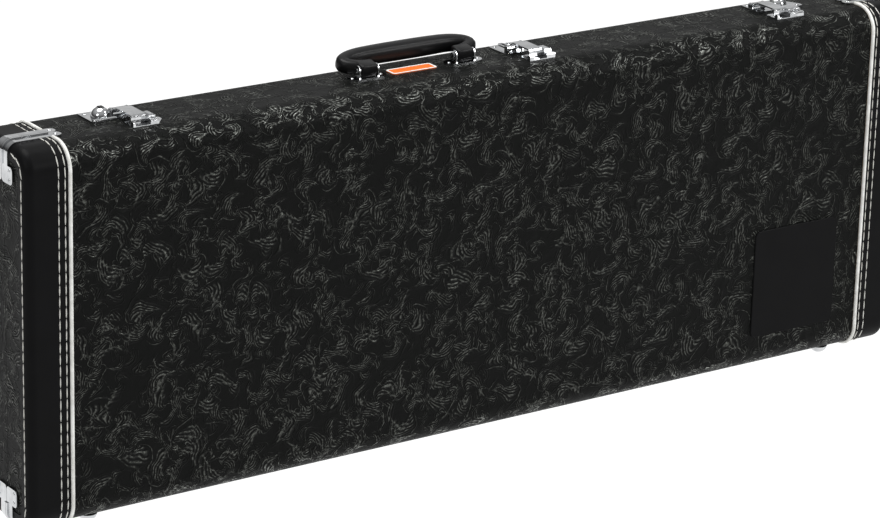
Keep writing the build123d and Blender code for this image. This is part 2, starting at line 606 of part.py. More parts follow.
def build():
    """Every sub-part by the name of its file."""
    parts = {
        "base_shell": shell(BASE), "lid_shell": shell(LID),
        "base_cover": cover(BASE), "lid_cover": cover(LID),
        "base_edge_strips": edge_strips(BASE), "lid_edge_strips": edge_strips(LID),
        "base_feet": feet(BASE), "lid_feet": feet(LID),
        "hinge_base_leaves": hinge_leaves(BASE), "hinge_lid_leaves": hinge_leaves(LID),
        "hinge_pins": hinge_pins(),
        "handle_grip": handle_grip(), "handle_pins": handle_pins(),
        "handle_left_bracket": bracket(HANDLE_X - HANDLE_SPAN / 2),
        "handle_right_bracket": bracket(HANDLE_X + HANDLE_SPAN / 2),
        "label_plate": label_plate(), "lid_patch": lid_patch(),
        "latch_pins": latch_pins(),
        "floor_pad": floor_pad(), "lid_pad": lid_pad(),
        "waist_pad_top": waist_pad(1), "waist_pad_bottom": waist_pad(-1),
        "neck_block": neck_block(), "neck_rest": neck_rest(),
        "pocket_box": pocket(), "pocket_lid": pocket_lid(), "pocket_tab": pocket_tab(),
        "latch_middle_loop": loop(), "latch_middle_post": loop_post(),
    }
    for side, half in ((BASE, "base"), (LID, "lid")):
        for end, word in ((-1, "left"), (1, "right")):
            parts[f"{half}_leather_{word}"] = leather(side, end)
            parts[f"{half}_piping_{word}"] = piping(side, end)
    for name, x, width in LATCHES:
        x0, x1, wing = PLATE_SPANS[name]
        parts[f"latch_{name}_hasp"] = hasp(x, width)
        parts[f"latch_{name}_plate"] = latch_plate(x, width, x + x0, x + x1, wing, name in DOMES)
        parts[f"latch_{name}_catch"] = catch(x, width, *CATCH_SPANS[name])
        if name in DOMES:
            parts[f"latch_{name}_dome"] = dome(x + DOMES[name])
            parts[f"latch_{name}_button"] = button(x + DOMES[name])
    return parts


if __name__ == "__main__":
    os.makedirs("parts", exist_ok=True)
    for node, form in build().items():
        export_step(form, f"parts/{node}.step")
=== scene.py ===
# %% [markdown]
# # A hardshell case for an electric guitar
# The case stands on four chrome domes, lid towards us. Its two halves are trays of
# plywood under embossed vinyl, with smooth leather at both ends, white piping on the
# seams and chrome at every corner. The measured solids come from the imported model, and
# this script dresses them: a material for each, and finer pieces where a solid is plain.

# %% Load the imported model
import json
import math

import bmesh
import bpy
from mathutils import Matrix, Vector, noise


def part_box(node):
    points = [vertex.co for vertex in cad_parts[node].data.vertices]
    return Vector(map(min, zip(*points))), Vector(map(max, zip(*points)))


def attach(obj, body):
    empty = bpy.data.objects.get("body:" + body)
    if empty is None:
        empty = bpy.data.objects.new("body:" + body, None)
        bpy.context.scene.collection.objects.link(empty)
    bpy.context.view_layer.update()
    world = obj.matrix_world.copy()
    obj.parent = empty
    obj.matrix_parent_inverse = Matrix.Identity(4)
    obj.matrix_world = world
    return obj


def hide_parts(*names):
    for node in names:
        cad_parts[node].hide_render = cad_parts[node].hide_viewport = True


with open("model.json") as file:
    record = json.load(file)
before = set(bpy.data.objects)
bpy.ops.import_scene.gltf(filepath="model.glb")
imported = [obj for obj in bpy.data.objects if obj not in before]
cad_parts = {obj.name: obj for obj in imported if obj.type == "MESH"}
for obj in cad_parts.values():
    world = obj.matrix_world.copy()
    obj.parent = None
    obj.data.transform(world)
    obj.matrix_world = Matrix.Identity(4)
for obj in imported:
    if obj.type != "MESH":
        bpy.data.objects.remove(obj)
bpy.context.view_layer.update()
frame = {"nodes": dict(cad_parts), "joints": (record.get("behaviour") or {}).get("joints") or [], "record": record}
nodes = frame["nodes"]
scene = bpy.context.scene

# %% Sizes read from the model
low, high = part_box("lid_cover")
TOP = high.z                              # upper cover of both halves
MID_Z = (TOP + low.z) / 2
BASE_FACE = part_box("base_cover")[1].y     # outer face of the base, away from us
PART_Y = (high.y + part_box("base_cover")[0].y) / 2
LEATHER_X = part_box("lid_leather_right")[1].x
BAND_X = sum(v.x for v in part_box("lid_piping_right")) / 2
PIPE_R = 0.0018                           # radius of the piping
print(f"case {2 * LEATHER_X:.4f} long, top at {TOP:.4f}, parting line at y {PART_Y:.4f}")

# %% [markdown]
# ## Camera, sky and lights
# The straight edges of the case in the photograph fix where the camera stood: far away,
# above the lid's left end, through a long lens. Its place and turn are numbers found by
# that fit, so the camera isn't aimed by eye. A dark object on a white ground needs care:
# lamps in front wash black vinyl grey. So the strongest lamp hangs overhead. Weaker ones
# stand at the front right, at the left end, and behind, where one gives the upper side
# its sheen, and a small one picks out the rounded edge. The sky is bright above and dark
# near the horizon, because chrome needs something dark to mirror.

# %% Place the camera
AZIMUTH, ELEVATION, ROLL = map(math.radians, (-34.308, 19.391, 1.490))
CAMERA_PLACE = (-1.982253, -2.862536, 1.398011)
FOCAL_PIXELS, PHOTO_PIXELS = 3696.325, 880     # focal length and width of the photograph
SENSOR_MM, FAR_CLIP = 36, 50
back = Vector((
    math.sin(AZIMUTH) * math.cos(ELEVATION),
    -math.cos(AZIMUTH) * math.cos(ELEVATION),
    math.sin(ELEVATION),
))
side = (-back).cross(Vector((0, 0, 1))).normalized()
up = side.cross(-back)
turned_side = math.cos(ROLL) * side + math.sin(ROLL) * up
turned_up = -math.sin(ROLL) * side + math.cos(ROLL) * up
lens = bpy.data.cameras.new("camera")
lens.sensor_width = SENSOR_MM
lens.lens = FOCAL_PIXELS / PHOTO_PIXELS * SENSOR_MM
lens.clip_end = FAR_CLIP
camera = bpy.data.objects.new("camera", lens)
scene.collection.objects.link(camera)
turn = Matrix((turned_side, turned_up, back)).transposed().to_4x4()
camera.matrix_world = Matrix.Translation(CAMERA_PLACE) @ turn
scene.camera = camera
print(f"lens {lens.lens:.1f} mm")

# %% Sky
SKY_HEIGHT = (0.10, 0.75)         # where it starts and stops growing brighter, 1 is overhead
SKY_GLOW = (0.05, 0.55)           # how bright it is at those heights
scene.view_settings.view_transform = "Standard"
scene.view_settings.look = "None"
world = bpy.data.worlds.new("studio")
world.use_nodes = True
sky = world.node_tree
direction = sky.nodes.new("ShaderNodeTexCoord")
parts = sky.nodes.new("ShaderNodeSeparateXYZ")
fade = sky.nodes.new("ShaderNodeMapRange")
sky.links.new(direction.outputs["Generated"], parts.inputs[0])
sky.links.new(parts.outputs["Z"], fade.inputs["Value"])
for key, value in zip(("From Min", "From Max", "To Min", "To Max"), SKY_HEIGHT + SKY_GLOW):
    fade.inputs[key].default_value = value
sky.links.new(fade.outputs[0], sky.nodes["Background"].inputs["Strength"])
sky.nodes["Background"].inputs["Color"].default_value = (1, 1, 1, 1)
scene.world = world
print("sky from", SKY_GLOW[0], "to", SKY_GLOW[1])


# %% Soft lights
def soft_light(name, place, size, power):
    """Square area light that faces the middle of the case."""
    data = bpy.data.lights.new(name, "AREA")
    data.shape, data.size, data.energy = "SQUARE", size, power
    lamp = bpy.data.objects.new(name, data)
    scene.collection.objects.link(lamp)
    aim = Vector(place) - Vector((0, 0, MID_Z))
    facing = aim.to_track_quat("Z", "Y").to_matrix().to_4x4()
    lamp.matrix_world = Matrix.Translation(place) @ facing


LAMPS = (                         # name, place, width in metres, power in watts
    ("overhead", (-0.4, 0.5, 3.2), 2.0, 84),
    ("behind", (1.9, 2.8, 1.6), 2.8, 11),
    ("left", (-2.6, -0.9, 1.7), 0.9, 11),
    ("front_right", (1.9, -2.7, 1.7), 1.0, 44),
    ("rounding", (1.9, -1.1, 2.9), 0.45, 26),
)
for lamp in LAMPS:
    soft_light(*lamp)
print(len(LAMPS), "soft lights")

# %% [markdown]
# ## Writing shaders as sums
# A material is a graph of small nodes, and wiring dozens of Math nodes by hand is hard to
# read. So one small class wraps a socket: adding or multiplying two of them adds the node
# for it. A second class holds the material and adds any other node. The rest of the
# script then writes its patterns as ordinary expressions.

# %% A socket that can be added up
class Value:
    """Socket of a shader tree that takes part in sums."""

    def __init__(self, paint, socket):
        self.paint, self.socket = paint, socket

    def math(self, operation, *others):
        return self.paint.node("ShaderNodeMath", {"operation": operation}, [self, *others])

    def __add__(self, other):
        return self.math("ADD", other)

    def __radd__(self, other):
        return self + other

    def __sub__(self, other):
        return self.math("SUBTRACT", other)

    def __rsub__(self, other):
        return self * -1 + other

    def __mul__(self, other):
        return self.math("MULTIPLY", other)

    def __rmul__(self, other):
        return self * other

    def __truediv__(self, other):
        return self.math("DIVIDE", other)

    def __abs__(self):
        return self.math("ABSOLUTE")

    def step(self, edge0, edge1):
        """0 below edge0, 1 above edge1, smooth between."""
        kind = {"interpolation_type": "SMOOTHSTEP"}
        return self.paint.node("ShaderNodeMapRange", kind, {0: self, 1: edge0, 2: edge1})


print("a socket can be added, multiplied and stepped")


# %% A material that grows from those sums
class Paint:
    """Material with one Principled shader."""

    def __init__(self, name, **constants):
        self.material = bpy.data.materials.new(name)
        self.material.use_nodes = True
        self.tree = self.material.node_tree
        self.shader = self.tree.nodes["Principled BSDF"]
        for key, value in constants.items():
            socket = key.replace("_", " ").title().replace("Ior", "IOR")
            self.shader.inputs[socket].default_value = value

    def put(self, socket, value):
        if isinstance(value, Value):
            self.tree.links.new(value.socket, socket)
        elif isinstance(value, tuple) and len(value) == 3 and len(socket.default_value) == 4:
            socket.default_value = (*value, 1)
        else:
            socket.default_value = value

    def node(self, kind, settings=None, inputs=(), output=0):
        """Any node: its type, its settings, and what goes into its sockets."""
        made = self.tree.nodes.new(kind)
        for key, value in (settings or {}).items():
            setattr(made, key, value)
        pairs = inputs.items() if isinstance(inputs, dict) else enumerate(inputs)
        for key, value in pairs:
            self.put(made.inputs[key], value)
        return Value(self, made.outputs[output])

    def place(self):
        """Object coordinates as one vector."""
        return self.node("ShaderNodeTexCoord", output=3)

    def facing(self):
        """Direction that a face looks in, in the object's own frame."""
        return self.node("ShaderNodeTexCoord", output=1)

    def split(self, vector):
        """The three values of a vector."""
        parts = self.tree.nodes.new("ShaderNodeSeparateXYZ")
        self.put(parts.inputs[0], vector)
        return [Value(self, socket) for socket in parts.outputs]

    def vector(self, x, y, z=0.0):
        return self.node("ShaderNodeCombineXYZ", None, [x, y, z])

    def noise(self, where, scale, detail=2.0, rough=0.5, output=0):
        inputs = {"Vector": where, "Scale": scale, "Detail": detail, "Roughness": rough}
        return self.node("ShaderNodeTexNoise", None, inputs, output)

    def mix(self, factor, a, b):
        """Blend of two colours."""
        return self.node("ShaderNodeMix", {"data_type": "RGBA"}, {0: factor, 6: a, 7: b}, output=2)

    def bump(self, height, distance, strength=1.0):
        inputs = {"Height": height, "Distance": distance, "Strength": strength}
        return self.node("ShaderNodeBump", None, inputs)

    def finish(self, **links):
        """Wires values into the shader's sockets and returns the material."""
        for key, value in links.items():
            self.put(self.shader.inputs[key.replace("_", " ").title()], value)
        return self.material


print("a material can be grown from sums")

# %% [markdown]
# ## Embossed vinyl
# The cover is thin vinyl pressed with flowing scrolls: curls filled with fine combed
# lines over a dull ground. It could be a painted height map, but no image is used here.
# A Voronoi texture gives every curl a centre; seen from that centre, an angle and a
# distance make spirals. A noise bends the whole sheet first, so that no two curls match.
# The sheet wraps round the case, so the pattern is laid out flat: along the case, and
# round it by adding the depth behind the outer face to the height.

# %% Pattern of one layer of curls
BEND, LOOSE = 0.9, 0.85           # how far the sheet is bent, how freely the centres lie
WIND, COMB_LEAN = 5.5, 5          # turn of a curl on its way out, slant of its lines
ARM = (-0.15, 0.75)               # level of the spiral's wave at an arm's foot and crest
STEM, STEM_BEHIND = 0.22, 0.9     # width of the thin stem, and how far it follows the arm
FADE = (0.42, 0.72)               # share of its size where a curl starts and ends to fade
ARM_HEIGHT, STEM_HEIGHT = 0.75, 0.6


def curls(paint, u, v, size, line, seed):
    """Height from 0 to 1 of a sheet of curls with combed lines."""
    sheet = paint.vector(u + seed, v + seed * 0.7)
    bend = paint.noise(sheet, BEND / size, output=1)
    shift = paint.node("ShaderNodeVectorMath", {"operation": "MULTIPLY_ADD"},
                       {0: bend, 1: (BEND * size, BEND * size, 0), 2: sheet})
    cells = paint.tree.nodes.new("ShaderNodeTexVoronoi")
    cells.voronoi_dimensions = "2D"
    cells.inputs["Scale"].default_value = 1 / size
    cells.inputs["Randomness"].default_value = LOOSE
    paint.tree.links.new(shift.socket, cells.inputs["Vector"])
    own = paint.node("ShaderNodeSeparateColor", None, {0: Value(paint, cells.outputs["Color"])})
    local = paint.node("ShaderNodeVectorMath", {"operation": "SUBTRACT"},
                       {0: shift, 1: Value(paint, cells.outputs["Position"])})
    across, above, _ = paint.split(local)
    far = paint.node("ShaderNodeVectorMath", {"operation": "LENGTH"}, {0: local}, output=1)
    angle = above.math("ARCTAN2", across) + own * (2 * math.pi)
    spiral = angle * 2 + far * (WIND / size)
    arms = spiral.math("COSINE").step(*ARM)
    stem = 1 - abs((spiral + STEM_BEHIND).math("SINE")).step(0.0, STEM)
    fade = 1 - far.step(*(limit * size for limit in FADE))
    comb = (far * (2 * math.pi / line) + angle * COMB_LEAN).math("SINE") * 0.5 + 0.5
    return (arms * comb * ARM_HEIGHT + stem * STEM_HEIGHT) * fade


print("curls ready")


# %% [markdown]
# Two sizes of curl share the sheet, and the small ones fill what the large ones leave.
# Their crests wear a painted highlight: a pale colour, broken into dashes by a noise,
# and paler still where the sheet bends over the long edges, as a painted highlight along
# the rounded edge. A face there looks up and out at once, which is what the product of
# the two parts of its direction measures. The crests are made partly metallic as well,
# so that they mirror far more than the dull ground between them.

# %% The vinyl itself
LARGE, SMALL = (0.041, 0.0030, 0.0), (0.023, 0.0024, 4.3)    # size, line, seed
END_PANEL = (0.4935, 0.4945)      # past this x, the sheet is an end panel
HALVES_APART = 0.31               # keeps the two halves from wearing the same pattern
SWELL, GROUND = 0.5, 0.12         # height of slow swell and of fine grain, beside the curls
RELIEF = 0.0017                   # depth in metres that stands for a height of 1


def embossed_vinyl():
    paint = Paint("embossed_vinyl", specular_ior_level=0.07)
    x, y, z = paint.split(paint.place())
    depth = BASE_FACE - abs(y)
    level = (z - MID_Z).math("SIGN")
    at_end = abs(x).step(*END_PANEL)
    around = z + depth * level * (1 - at_end)
    along = x * (1 - at_end) + y * at_end + y.math("SIGN") * HALVES_APART
    sheet = paint.vector(along, around)
    large, small = (curls(paint, along, around, *layer) for layer in (LARGE, SMALL))
    filled = paint.noise(sheet, 34).step(0.42, 0.6)
    pressed = large.math("MAXIMUM", small * (0.55 + filled * 0.45))
    pressed = pressed + paint.noise(sheet, 900, 3.0, 0.6) * GROUND
    height = pressed + paint.noise(sheet, 75) * SWELL
    # painted highlight: a noise breaks the pale crests into short dashes
    highlight_dashes = paint.noise(sheet, 260, 2.0, 0.6).step(0.40, 0.62)
    # crests painted pale as a highlight; they also turn metallic and smoother
    crest_sheen = pressed.step(0.30, 0.78) * (0.12 + highlight_dashes * 0.88)
    _, out, over = paint.split(paint.facing())
    # painted highlight: crests paler where the sheet bends over the long edges
    edge_highlight = (abs(over) * abs(out)).step(0.16, 0.46)
    # colour of the painted crest highlight, paler on the rounded long edges
    sheen_colour = paint.mix(edge_highlight, (0.090, 0.094, 0.085), (0.27, 0.28, 0.26))
    tone = paint.mix(crest_sheen, (0.0028, 0.0031, 0.0028), sheen_colour)
    return paint.finish(base_color=tone, metallic=crest_sheen * 0.9, roughness=0.46 - crest_sheen * 0.14,
                        normal=paint.bump(height, RELIEF))


VINYL = embossed_vinyl()
print(len(VINYL.node_tree.nodes), "nodes in the vinyl")

# %% [markdown]
# ## The other finishes
# The leather bands are smooth, with a fine grain that shows only in the highlights.
# Chrome is all reflection, so what sells it is unevenness: faint ripples in the plating
# and dull smudges. The grip is moulded, the label printed, the lining is short plush.
# Each finish is one function, so that its sums stay short.

# %% Leather, thread and piping
def smooth_leather():
    paint = Paint("smooth_leather", specular_ior_level=0.06)
    place = paint.place()
    grain = paint.node("ShaderNodeTexVoronoi", None, {"Vector": place, "Scale": 950.0})
    cloud = paint.noise(place, 45, 3.0)
    tone = paint.mix(cloud, (0.0026, 0.0026, 0.0028), (0.0052, 0.0052, 0.0056))
    height = grain * 0.6 + paint.noise(place, 160) * 0.8
    return paint.finish(base_color=tone, roughness=0.34 + cloud * 0.14,
                        normal=paint.bump(height, 0.00014, 0.6))


def waxed_thread():
    paint = Paint("waxed_thread", roughness=0.6)
    place = paint.place()
    x, y, z = paint.split(place)
    tone = paint.mix(paint.noise(place, 900, 1.0), (0.50, 0.49, 0.45), (0.78, 0.77, 0.72))
    twist = (z * 9000 + x * 9000 + y * 5000).math("SINE")
    return paint.finish(base_color=tone, normal=paint.bump(twist, 0.0001, 0.5))


def white_piping():
    paint = Paint("white_piping", specular_ior_level=0.45)
    cloud = paint.noise(paint.place(), 120, 3.0)
    tone = paint.mix(cloud.step(0.35, 0.7), (0.66, 0.655, 0.62), (0.84, 0.84, 0.81))
    return paint.finish(base_color=tone, roughness=0.32 + cloud * 0.2,
                        normal=paint.bump(cloud, 0.0004, 0.5))


LEATHER, THREAD, PIPING = smooth_leather(), waxed_thread(), white_piping()
print("leather, thread and piping")


# %% Chrome, moulded grip and label
def chrome():
    paint = Paint("chrome", metallic=1.0)
    place = paint.place()
    smudge = paint.noise(place, 55, 4.0, 0.6)
    ripple = paint.noise(place, 140, 1.0)
    tone = paint.mix(smudge.step(0.3, 0.75), (0.66, 0.67, 0.68), (0.46, 0.47, 0.48))
    rough = 0.07 + smudge.step(0.45, 0.8) * 0.16
    return paint.finish(base_color=tone, roughness=rough,
                        normal=paint.bump(ripple, 0.00025, 0.6))


def moulded_black():
    paint = Paint("moulded_black", specular_ior_level=0.16)
    place = paint.place()
    grain = paint.node("ShaderNodeTexVoronoi", None, {"Vector": place, "Scale": 1400.0})
    cloud = paint.noise(place, 60)
    tone = paint.mix(cloud, (0.0035, 0.0035, 0.0038), (0.008, 0.008, 0.0085))
    return paint.finish(base_color=tone, roughness=0.27 + cloud * 0.16,
                        normal=paint.bump(grain, 0.00009, 0.5))


RIM_STARTS, RIM_ENDS = 0.00075, 0.00095     # height above the cover of the label's rim


def orange_label():
    paint = Paint("orange_label", specular_ior_level=0.5)
    place = paint.place()
    rim = paint.split(place)[2].step(TOP + RIM_STARTS, TOP + RIM_ENDS)
    cloud = paint.noise(place, 210)
    field = paint.mix(cloud, (0.80, 0.12, 0.012), (0.92, 0.20, 0.03))
    tone = paint.mix(rim, field, (0.80, 0.79, 0.75))
    return paint.finish(base_color=tone, roughness=0.28 + cloud * 0.15,
                        normal=paint.bump(cloud, 0.0001, 0.4))


CHROME, GRIP, LABEL = chrome(), moulded_black(), orange_label()
print("chrome, grip and label")


# %% Plush lining and plywood
def plush():
    paint = Paint("plush", sheen_weight=0.7, sheen_roughness=0.4, specular_ior_level=0.2,
                  roughness=0.9)
    place = paint.place()
    pile = paint.noise(place, 1300, 2.0, 0.7)
    brushed = paint.noise(place, 14, 3.0)
    tone = paint.mix(brushed * 0.7 + pile * 0.3, (0.022, 0.022, 0.025), (0.075, 0.075, 0.082))
    return paint.finish(base_color=tone, normal=paint.bump(pile + brushed, 0.0009, 0.7))


PLY = 0.0016                      # two layers of the plywood


def plywood():
    paint = Paint("plywood", specular_ior_level=0.3)
    x, y, z = paint.split(paint.place())
    grain = paint.noise(paint.vector(x * 6, y * 160, z * 160), 1.0, 4.0, 0.6)
    plies = (y * (2 * math.pi / PLY)).math("SINE").step(-0.3, 0.5)
    tone = paint.mix(grain, (0.42, 0.28, 0.15), (0.66, 0.50, 0.32))
    tone = paint.mix(plies * 0.35, tone, (0.30, 0.19, 0.10))
    return paint.finish(base_color=tone, roughness=0.62 + grain * 0.2,
                        normal=paint.bump(grain, 0.0003, 0.5))


PLUSH, PLYWOOD = plush(), plywood()
print("plush and plywood")

# %% [markdown]
# ## Dressing the solids
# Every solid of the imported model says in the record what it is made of. One table turns
# that word into a finish, so a hinge and a latch wear the same chrome, and no solid is
# left bare. The finer pieces made further down wear the same finishes.

# %% Dress every solid
FINISHES = {
    "embossed_vinyl": VINYL, "plywood": PLYWOOD, "smooth_leather": LEATHER,
    "white_piping": PIPING, "chrome": CHROME, "black_plastic": GRIP,
    "orange_label": LABEL, "plush": PLUSH,
}


def dress(obj, material):
    """One material over the whole object."""
    obj.data.materials.clear()
    obj.data.materials.append(material)


for part in frame["record"]["subparts"]:
    dress(nodes[part["node"]], FINISHES[part["material_slot"]])

# %% [markdown]
# ## Floor
# A plain pale sheet, far larger than the view. It isn't part of the case. It shines
# evenly, as white paper does in a bright studio, so hardly any shadow shows. The standing
# case opens below its own feet, and a sheet at foot level would hide the open lid; so it
# lies lower than that, and shows only from above.

# %% Make the floor
FLOOR_HALF, FLOOR_Z, FLOOR_GLOW = 12, -0.145, 0.92
floor_paint = Paint("floor", roughness=0.9, specular_ior_level=0.1, emission_strength=FLOOR_GLOW)
seen_from_below = floor_paint.node("ShaderNodeNewGeometry", output=6)
floor_material = floor_paint.finish(
    base_color=(0.15, 0.15, 0.15), emission_color=(1.0, 1.0, 1.0), alpha=1 - seen_from_below)
floor_mesh = bpy.data.meshes.new("floor")
corners = ((-1, -1), (1, -1), (1, 1), (-1, 1))
floor_mesh.from_pydata(
    [(x * FLOOR_HALF, y * FLOOR_HALF, FLOOR_Z) for x, y in corners], [], [(0, 1, 2, 3)])
floor = bpy.data.objects.new("floor", floor_mesh)
scene.collection.objects.link(floor)
dress(floor, floor_material)
print("floor laid")


# %% [markdown]
# ## Piping
# White cord is sewn into the seam between vinyl and leather. The solid is a plain
# eight-sided cord. A curve with a bevel would do, but here a ring of points is carried
# along the seam: the path is three straight runs and two quarter turns, and a
# ring that keeps its turn needs no twist control.

# %% Turn a loose mesh into a piece
def object_from(name, builder):
    """Turns a bmesh into an object of the scene."""
    bmesh.ops.recalc_face_normals(builder, faces=builder.faces)
    mesh = bpy.data.meshes.new(name)
    builder.to_mesh(mesh)
    builder.free()
    obj = bpy.data.objects.new(name, mesh)
    scene.collection.objects.link(obj)
    return obj


def smooth_piece(name, builder, material, body):
    """Turns a bmesh into a smooth piece that rides on a body."""
    obj = object_from(name, builder)
    faces = obj.data.polygons
    faces.foreach_set("use_smooth", [True] * len(faces))
    dress(obj, material)
    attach(obj, body)
    return obj


print("a loose mesh can ride on a body")


# %% Points round one half of the case
SIDEWAYS = Vector((1, 0, 0))


def wrap_points(x, face_y, top_z, bottom_z, radius, start_y, steps=10):
    """Points round one half at one x: over the top, down its face and under."""
    way = 1 if face_y > start_y else -1
    points = [Vector((x, start_y, top_z))]
    for level, z in ((1, top_z), (-1, bottom_z)):
        centre = Vector((x, face_y - way * radius, z - level * radius))
        for i in range(steps + 1):
            a = math.pi / 2 * i / steps
            if level < 0:
                a = math.pi / 2 - a
            points.append(centre + radius * Vector((0, way * math.sin(a), level * math.cos(a))))
    return points + [Vector((x, start_y, bottom_z))]


print(len(wrap_points(0, low.y, high.z, low.z, PIPE_R, PART_Y)), "points round one half")


# %% Round cord along those points
def skin(builder, rings, both_ends=True):
    """Faces between neighbouring rings, and over the first and last."""
    for ring, following in zip(rings, rings[1:]):
        for k in range(len(ring)):
            n = (k + 1) % len(ring)
            builder.faces.new((ring[k], ring[n], following[n], following[k]))
    if both_ends:
        builder.faces.new(rings[0][::-1])
        builder.faces.new(rings[-1])


def tube(builder, points, radius, count=16):
    """Closed round tube along points that lie in one plane x = constant."""
    rings = []
    for i, p in enumerate(points):
        a, b = points[max(i - 1, 0)], points[min(i + 1, len(points) - 1)]
        out = SIDEWAYS.cross((b - a).normalized())
        rings.append([
            builder.verts.new(p + radius * (math.cos(t) * SIDEWAYS + math.sin(t) * out))
            for t in (2 * math.pi * k / count for k in range(count))
        ])
    skin(builder, rings)


print("a cord can follow points")


# %% Make the four pipings
PIPING_BEND = 0.0239              # radius of the cord's middle line over the long edges
FULLER = 1.04                     # a round cord holds as much as the eight-sided one
for half in ("base", "lid"):
    for end in ("left", "right"):
        node = f"{half}_piping_{end}"
        near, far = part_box(node)
        face_y, start_y = (far.y, near.y) if half == "base" else (near.y, far.y)
        inward = -1 if half == "base" else 1
        builder = bmesh.new()
        path = wrap_points(
            (near.x + far.x) / 2, face_y + inward * PIPE_R, far.z - PIPE_R, near.z + PIPE_R,
            PIPING_BEND, start_y)
        tube(builder, path, FULLER * PIPE_R)
        obj = smooth_piece(f"piping_{half}_{end}", builder, PIPING, half)
        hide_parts(node)
print("four pipings")

# %% [markdown]
# ## Grip
# The handle is one moulding: a thick bar that curls round at both ends and runs down into
# two square blocks between the bracket's ears. The solid joins bar and elbows with a
# step. Here one oval section travels along a smooth path and grows from the elbows to the
# bar, which gives the swelling that a hand feels. A thin moulded lip runs along its
# lower inside edge. Points are worked out for an upright handle, then leaned back.

# %% Path and section of the grip, in the plane of the handle
SWING = next(j for j in frame["joints"] if j["name"] == "handle_swing")
PIN = Vector(SWING["pos_m"])
LEAN = math.radians(80)                        # the handle lies back at rest
LEG = sum(v.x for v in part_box("handle_right_bracket")) / 2 - PIN.x
RISE = 0.0270                                  # from the pins to the bar
ELBOW_OUT, ELBOW_UP, ELBOW_IN = 0.0290, 0.0112, 0.0125     # half axes of its oval, its middle
ELBOW_FROM, ELBOW_TURN, ELBOW_STEPS = -64, 154, 14         # degrees
ELBOW_THIN, ELBOW_GROWS = 0.0062, 0.0024       # half thickness at the block, and its growth
BAR = ((0.032, 0.0088), (0.016, 0.0090), (0.0, 0.0090))    # x and half thickness


def leaned(x, depth, rise):
    """Place in the case of a point given in the upright handle's own plane."""
    return PIN + Vector((
        x,
        depth * math.cos(LEAN) + rise * math.sin(LEAN),
        -depth * math.sin(LEAN) + rise * math.cos(LEAN),
    ))


def grip_path():
    """Stations along the grip: x, rise, direction, half thickness, half width."""
    right = []
    for i in range(ELBOW_STEPS + 1):
        a = math.radians(ELBOW_FROM + ELBOW_TURN * i / ELBOW_STEPS)
        size = ELBOW_THIN + ELBOW_GROWS * i / ELBOW_STEPS
        ahead = Vector((-ELBOW_OUT * math.sin(a), ELBOW_UP * math.cos(a))).normalized()
        x = LEG - ELBOW_IN + ELBOW_OUT * math.cos(a)
        rise = RISE - ELBOW_UP + ELBOW_UP * math.sin(a)
        right.append((x, rise, tuple(ahead), size, size + 0.0002))
    right += [(x, RISE, (-1, 0), size, size + 0.0003) for x, size in BAR]
    left = [(-x, r, (d[0], -d[1]), a, b) for x, r, d, a, b in right[:-1]]
    return right + left[::-1]


print(len(grip_path()), "stations along the grip")


# %% Sweep the bar, its elbows and its lip
LIP_INSET = 6                     # stations at each end that have no lip


def swept(builder, stations, sides=28, power=2.6, offset=(0.0, 0.0), scale=1.0):
    """Closed body with an oval section along the stations."""
    rings = []
    for x, rise, (dx, dr), thick, wide in stations:
        ring = []
        for k in range(sides):
            t = 2 * math.pi * k / sides
            c, s = math.cos(t), math.sin(t)
            across = math.copysign(abs(c) ** (2 / power), c) * thick * scale + offset[0] * thick
            depth = math.copysign(abs(s) ** (2 / power), s) * wide * scale + offset[1] * wide
            ring.append(builder.verts.new(leaned(x + dr * across, depth, rise - dx * across)))
        rings.append(ring)
    skin(builder, rings)


builder = bmesh.new()
stations = grip_path()
swept(builder, stations)
swept(builder, stations[LIP_INSET:-LIP_INSET], sides=10, power=2.0,
      offset=(-0.62, 0.72), scale=0.13)
print(len(builder.faces), "faces of bar, elbows and lip")


# %% Add a block at each end
BLOCK, BLOCK_UP, BLOCK_ROUND = (0.0190, 0.0132, 0.0150), 0.0014, 0.0022


def rounded_block(builder, end):
    """Block between the ears of one bracket, where the pin passes."""
    cube = bmesh.ops.create_cube(builder, size=1)["verts"]
    for v in cube:
        v.co = Vector((v.co.x * BLOCK[0], v.co.y * BLOCK[1], v.co.z * BLOCK[2] + BLOCK_UP))
    edges = {e for v in cube for e in v.link_edges}
    made = bmesh.ops.bevel(builder, geom=list(edges), offset=BLOCK_ROUND, segments=3,
                           affect="EDGES", profile=0.5)
    for v in {v for f in made["faces"] for v in f.verts} | {v for v in cube if v.is_valid}:
        v.co = leaned(v.co.x + end * LEG, v.co.y, v.co.z)


for end in (-1, 1):
    rounded_block(builder, end)
print(len(builder.faces), "faces with the blocks")

# %% Hang the grip on its pins
grip = smooth_piece("grip", builder, GRIP, "handle")
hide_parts("handle_grip")
print("grip", len(grip.data.polygons), "faces")

# %% [markdown]
# ## Stitches
# Two rows of pale thread run beside the piping and one near the edge of each end face.
# They could be copied one by one in a loop, but a Geometry Nodes tree says it more
# plainly: take a line, divide it evenly, put one stitch on each point along the line.
# The stitch's length, its thickness and the pitch are inputs with names. The tree ends by
# turning its copies into real mesh, because an export has no copies.

